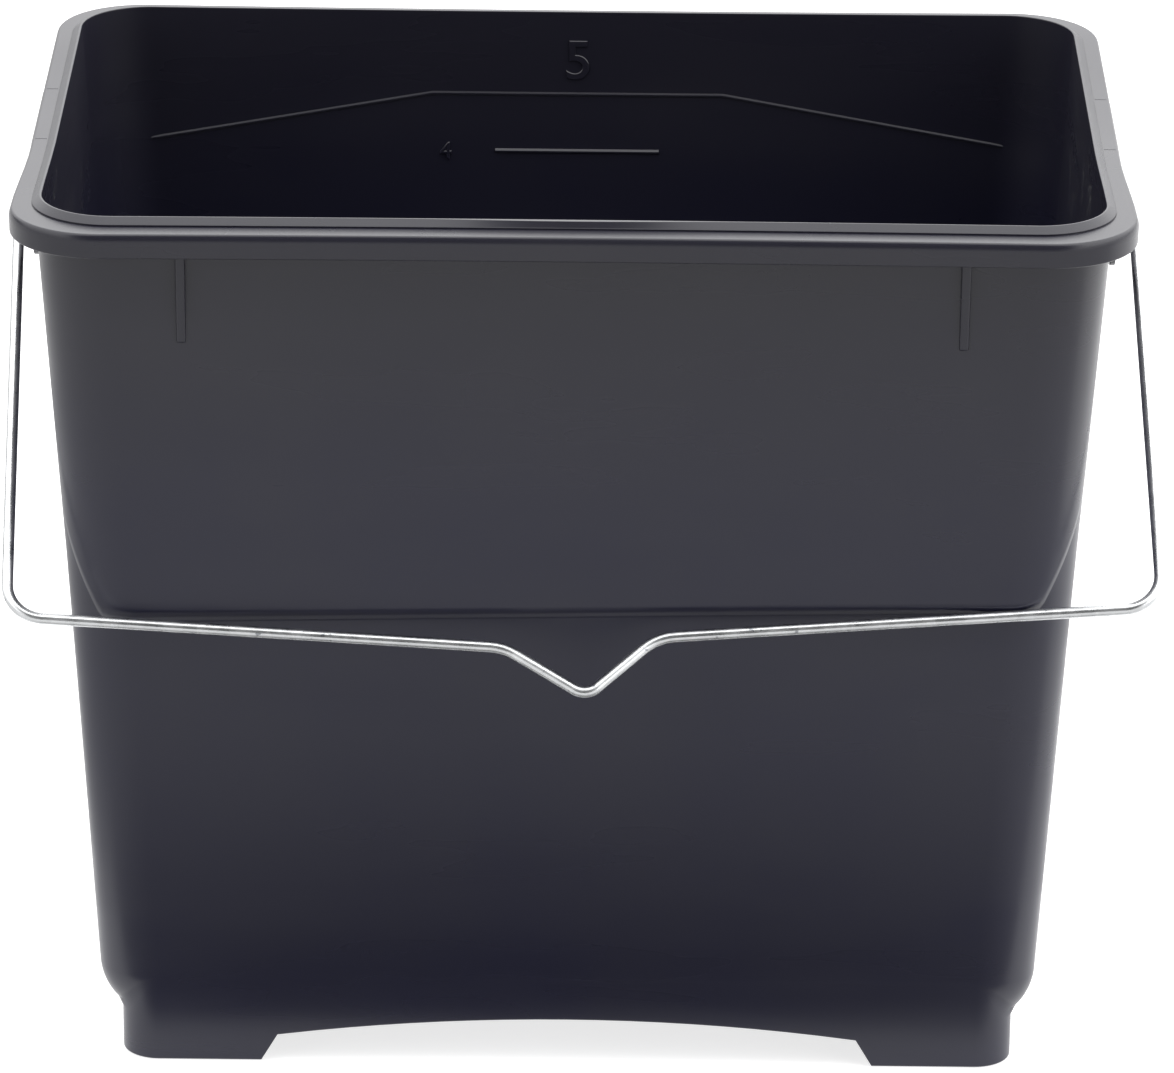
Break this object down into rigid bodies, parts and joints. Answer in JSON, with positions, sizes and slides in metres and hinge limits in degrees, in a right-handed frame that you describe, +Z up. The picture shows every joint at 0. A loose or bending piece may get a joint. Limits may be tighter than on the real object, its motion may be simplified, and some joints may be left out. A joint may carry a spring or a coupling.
{
  "type": "wash bucket",
  "caption": "Rectangular moulded tub with a flanged rim, graduations inside, feet with an arch between them, and a bent wire bail that swings on ears under the rim.",
  "frame": {"origin": "centre of the base, on the surface that the bucket stands on", "axes": "+Z up; +X to the bucket's right, along its longer side; -Y is the front, the side that the bail hangs on"},
  "size_m": [0.2458, 0.1648, 0.1946],
  "materials": {
    "black_polypropylene": "satin moulded",
    "galvanised_wire": "bright galvanised"
  },
  "bodies": {
    "tub": {"tub": "black_polypropylene"},
    "bail": {"wire_handle": "galvanised_wire"}
  },
  "joints": [
    {"name": "bail_swing", "type": "hinge", "parent": "tub", "child": "bail", "pos_m": [0, 0, 0.1732], "axis": [-1, 0, 0], "range_deg": [0, 266]}
  ]
}
